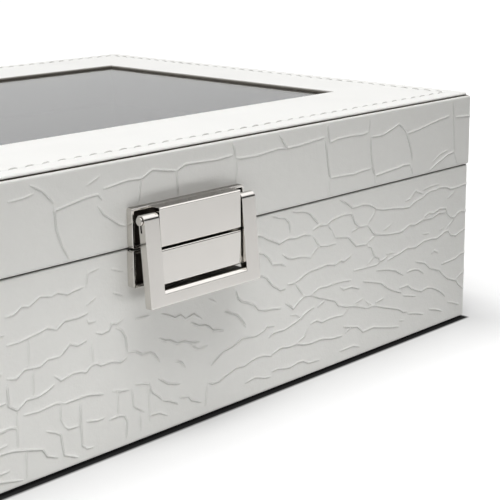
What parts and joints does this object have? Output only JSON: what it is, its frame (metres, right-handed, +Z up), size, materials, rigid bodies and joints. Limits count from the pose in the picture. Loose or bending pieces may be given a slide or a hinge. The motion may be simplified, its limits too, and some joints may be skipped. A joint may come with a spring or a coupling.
{
  "type": "sunglasses organizer",
  "caption": "White embossed leatherette box for sunglasses, with lined compartments, a hinged lid with a glass window and stitched frame, and a swing bail clasp on the front.",
  "frame": {"origin": "middle of the flat underside that the box stands on", "axes": "+X to the right along the clasp side, +Y from the clasp to the hinges, +Z up"},
  "size_m": [0.2868, 0.2119, 0.085],
  "materials": {
    "embossed_leather": "semi-gloss white leatherette with a scale embossing",
    "smooth_leather": "smooth white leatherette with a stitched edge",
    "polished_nickel": "polished nickel plate",
    "hinge_metal": "nickel plate",
    "velvet": "dark velvet",
    "board": "raw fibre board",
    "sole": "dark felt sheet",
    "glass": "clear pane"
  },
  "bodies": {
    "base": {"base_sole": "sole", "base_skin": "embossed_leather", "base_floor_board": "board", "base_front_board": "board", "base_back_board": "board", "base_left_board": "board", "base_right_board": "board", "liner_front": "velvet", "liner_back": "velvet", "liner_left": "velvet", "liner_right": "velvet", "divider_1": "velvet", "divider_2": "velvet", "divider_3": "velvet", "floor_pad_1": "velvet", "floor_pad_2": "velvet", "floor_pad_3": "velvet", "floor_pad_4": "velvet", "clasp_lower_tray": "polished_nickel", "clasp_lower_block": "polished_nickel", "hinge_base_leaf_left": "hinge_metal", "hinge_base_leaf_right": "hinge_metal", "hinge_pin_left": "hinge_metal", "hinge_pin_right": "hinge_metal", "hinge_base_screws": "hinge_metal"},
    "lid": {"lid_skin": "embossed_leather", "lid_front_rail": "board", "lid_back_rail": "board", "lid_left_rail": "board", "lid_right_rail": "board", "lid_front_top_board": "board", "lid_back_top_board": "board", "lid_left_top_board": "board", "lid_right_top_board": "board", "lid_top_cover": "smooth_leather", "glass_pane": "glass", "lid_ceiling_lining": "velvet", "lid_front_lining": "velvet", "lid_back_lining": "velvet", "lid_left_lining": "velvet", "lid_right_lining": "velvet", "clasp_upper_tray": "polished_nickel", "clasp_upper_block": "polished_nickel", "clasp_pivot_pin": "polished_nickel", "hinge_lid_leaf_left": "hinge_metal", "hinge_lid_leaf_right": "hinge_metal", "hinge_lid_screws": "hinge_metal"},
    "bail": {"clasp_bail": "polished_nickel"}
  },
  "joints": [
    {"name": "lid_hinge", "type": "hinge", "parent": "base", "child": "lid", "pos_m": [0, 0.1013, 0.05865], "axis": [-1, 0, 0], "range_deg": [0, 100]},
    {"name": "bail_swing", "type": "hinge", "parent": "lid", "child": "bail", "pos_m": [0, -0.1049, 0.0673], "axis": [-1, 0, 0], "range_deg": [0, 110]}
  ]
}
